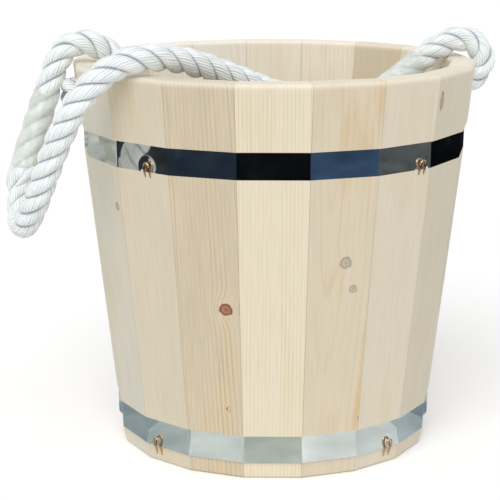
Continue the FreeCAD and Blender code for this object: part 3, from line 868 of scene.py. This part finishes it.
def rolled_steel(name, centres):
    """Bright rolled stainless strip, dented round the staples."""
    material, tree = new_finish(name)
    place = add(tree, "ShaderNodeTexCoord").outputs["Object"]
    stretched = add(tree, "ShaderNodeVectorMath", [place, rolling_scale], operation="MULTIPLY")
    rolled = add(tree, "ShaderNodeTexNoise", {"Vector": stretched, "Scale": 1.0, "Detail": 3.0})
    smudges = add(tree, "ShaderNodeTexNoise", {
        "Vector": place, "Scale": 55.0, "Detail": 4.0, "Roughness": 0.6})
    waves = add(tree, "ShaderNodeTexNoise", {"Vector": place, "Scale": 22.0, "Detail": 1.0})
    dents = None
    for centre in centres:
        reach = add(tree, "ShaderNodeVectorMath", [place, tuple(centre)], operation="DISTANCE")
        dent = add(tree, "ShaderNodeMapRange", {
            "Value": reach.outputs["Value"], "From Min": 2.0 * MM, "From Max": 10.0 * MM},
            interpolation_type="SMOOTHERSTEP")
        dents = dent if dents is None else add(
            tree, "ShaderNodeMath", [dents, dent], operation="MINIMUM")
    tint = add(tree, "ShaderNodeMix", {
        "Factor": smudges.outputs["Fac"], "A": "#cfd4d3", "B": "#e6eaea"}, data_type="RGBA")
    gloss = add(tree, "ShaderNodeMapRange", {
        "Value": smudges.outputs["Fac"], "From Min": 0.45, "From Max": 0.75,
        "To Min": 0.05, "To Max": 0.12})
    wavy = add(tree, "ShaderNodeBump", {
        "Strength": 1.0, "Distance": 0.12 * MM, "Height": waves.outputs["Fac"]})
    dented = add(tree, "ShaderNodeBump", {
        "Strength": 1.0, "Distance": 0.5 * MM, "Height": dents, "Normal": wavy})
    lined = add(tree, "ShaderNodeBump", {
        "Strength": 0.15, "Distance": 0.01 * MM, "Height": rolled.outputs["Fac"],
        "Normal": dented})
    shader = add(tree, "ShaderNodeBsdfPrincipled", {
        "Base Color": tint, "Metallic": 1.0, "Roughness": gloss, "Normal": lined})
    add(tree, "ShaderNodeOutputMaterial", [shader])
    return material


for hoop, centres in staple_centres.items():
    dress(hoop, rolled_steel("bright_rolled_strip_" + hoop, centres))
print("hoops finished")

# %% [markdown]
# ## The studio
# A pale floor, a soft key light from the upper left in front, and an even white sky. To
# the camera, metal and film, the sky shows as white and the floor as nearly white. Two
# flat cards of toned sectors lie round the bucket, a pale one near the foot and a dark one
# past the picture's edge. Only reflections see them: their tones are painted reflections
# that give the bright metal some contrast.

# %% Light and floor
def seen_directly(tree):
    """1 for what the camera, metal or film sees, and 0 for the light that falls on things."""
    rays = add(tree, "ShaderNodeLightPath")
    seen = add(tree, "ShaderNodeMath", [
        rays.outputs["Is Camera Ray"], rays.outputs["Is Glossy Ray"]], operation="MAXIMUM")
    return add(tree, "ShaderNodeMath", [
        seen, rays.outputs["Is Transmission Ray"]], operation="MAXIMUM")


world = bpy.data.worlds.new("white_studio")
bpy.context.scene.world = world
world.use_nodes = True
tree = world.node_tree
tree.nodes.clear()
sky = add(tree, "ShaderNodeBackground", {"Color": "#ffffff", "Strength": 0.66})
backdrop = add(tree, "ShaderNodeBackground", {"Color": "#ffffff", "Strength": 1.0})
mixed = add(tree, "ShaderNodeMixShader", [seen_directly(tree), sky, backdrop])
add(tree, "ShaderNodeOutputWorld", [mixed])

key_data = bpy.data.lights.new("key", "SUN")
key_data.energy = 1.55
key_data.angle = math.radians(45.0)
key = placed("key", key_data)
key.rotation_euler = Vector((0.38, 0.95, -1.05)).to_track_quat("-Z", "Y").to_euler()

floor_half = 6.0
floor_mesh = bpy.data.meshes.new("pale_floor")
floor_corners = [(x * floor_half, y * floor_half, 0.0)
                 for x, y in ((-1, -1), (1, -1), (1, 1), (-1, 1))]
floor_mesh.from_pydata(floor_corners, [], [(0, 1, 2, 3)])
floor = placed("pale_floor", floor_mesh)
floor_finish, tree = new_finish("matt_white_paper")
paper = add(tree, "ShaderNodeBsdfDiffuse", {"Color": "#f4f4f4"})
lift = add(tree, "ShaderNodeEmission", {"Strength": 0.12})
nothing = add(tree, "ShaderNodeEmission", {"Strength": 0.0})
lifted = add(tree, "ShaderNodeMixShader", [seen_directly(tree), nothing, lift])
both = add(tree, "ShaderNodeAddShader", [paper, lifted])
add(tree, "ShaderNodeOutputMaterial", [both])
floor_mesh.materials.append(floor_finish)

card_height = 4.0 * MM
sector_steps = 6


def reflection_card(name, inner, outer, first, width, clouding, codes):
    """A flat card of matt sectors round the bucket that only reflections see, so its tones are
    painted reflections.
    """
    mesh = bpy.data.meshes.new(name)
    corners = []
    faces = []
    for index, code in enumerate(codes):
        for step in range(sector_steps + 1):
            turn = math.radians(first + width * (index + step / sector_steps))
            for radius in (inner, outer):
                corners.append((radius * math.cos(turn), radius * math.sin(turn), card_height))
            if step < sector_steps:
                low = len(corners) - 2
                faces.append((low, low + 1, low + 3, low + 2))
        finish, tree = new_finish(f"matt_{name}_{index}")
        place = add(tree, "ShaderNodeTexCoord").outputs["Object"]
        clouds = add(tree, "ShaderNodeTexNoise", {"Vector": place, "Scale": 24.0})
        depth = add(tree, "ShaderNodeMapRange", {
            "Value": clouds.outputs["Fac"], "From Min": 0.32, "From Max": 0.68,
            "To Min": clouding[0], "To Max": clouding[1]})
        toned = add(tree, "ShaderNodeVectorMath", {
            0: colour(code)[:3], "Scale": depth}, operation="SCALE")
        matt = add(tree, "ShaderNodeBsdfDiffuse", {"Color": toned})
        add(tree, "ShaderNodeOutputMaterial", [matt])
        mesh.materials.append(finish)
    mesh.from_pydata(corners, [], faces)
    for face in mesh.polygons:
        face.material_index = face.index // sector_steps
    card = placed(name, mesh)
    for ray in ("camera", "diffuse", "shadow", "transmission"):
        setattr(card, "visible_" + ray, False)


# Painted reflections: the dark card's sectors give the upper hoop its dark, blue, grey and pale
# facets, and the pale card's sectors give the lower hoop its greys.
reflection_card("dark_card", 400.0 * MM, 1600.0 * MM, -120.0, 40.0, (0.30, 1.05),
          ("#101216", "#46607f", "#6a6d6e", "#0e1013", "#14171b", "#c4c9c3", "#e2e6dd",
           "#3a3e44", "#303c4a"))
reflection_card("pale_card", 126.0 * MM, 398.0 * MM, -207.5, 24.0, (0.85, 1.12),
          ("#94a2a8", "#9aa8ac", "#bcc6c6", "#e0e6e4", "#c6cbc4", "#f2f6f6", "#dde3e3",
           "#b6c2c8", "#8c9ca6", "#c2cac9", "#e4e9e8", "#d0d6d4", "#b4bec2", "#d8dedd",
           "#c4ccca"))

bpy.context.scene.view_settings.view_transform = "Standard"
print("stage set")

# %% [markdown]
# ## Join the new pieces
# Every new piece moves with the bucket, and all but the loose tails stand for solids.

# %% Join the pieces to the frame
for name, piece in fasteners.items():
    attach(piece, "root")
    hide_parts(name)
for piece in films:
    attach(piece, "root")
    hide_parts("splice_sleeves")
for piece in tails:
    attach(piece, "root")
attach(rope, "root")
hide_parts("rope_handle")
print("pieces joined")
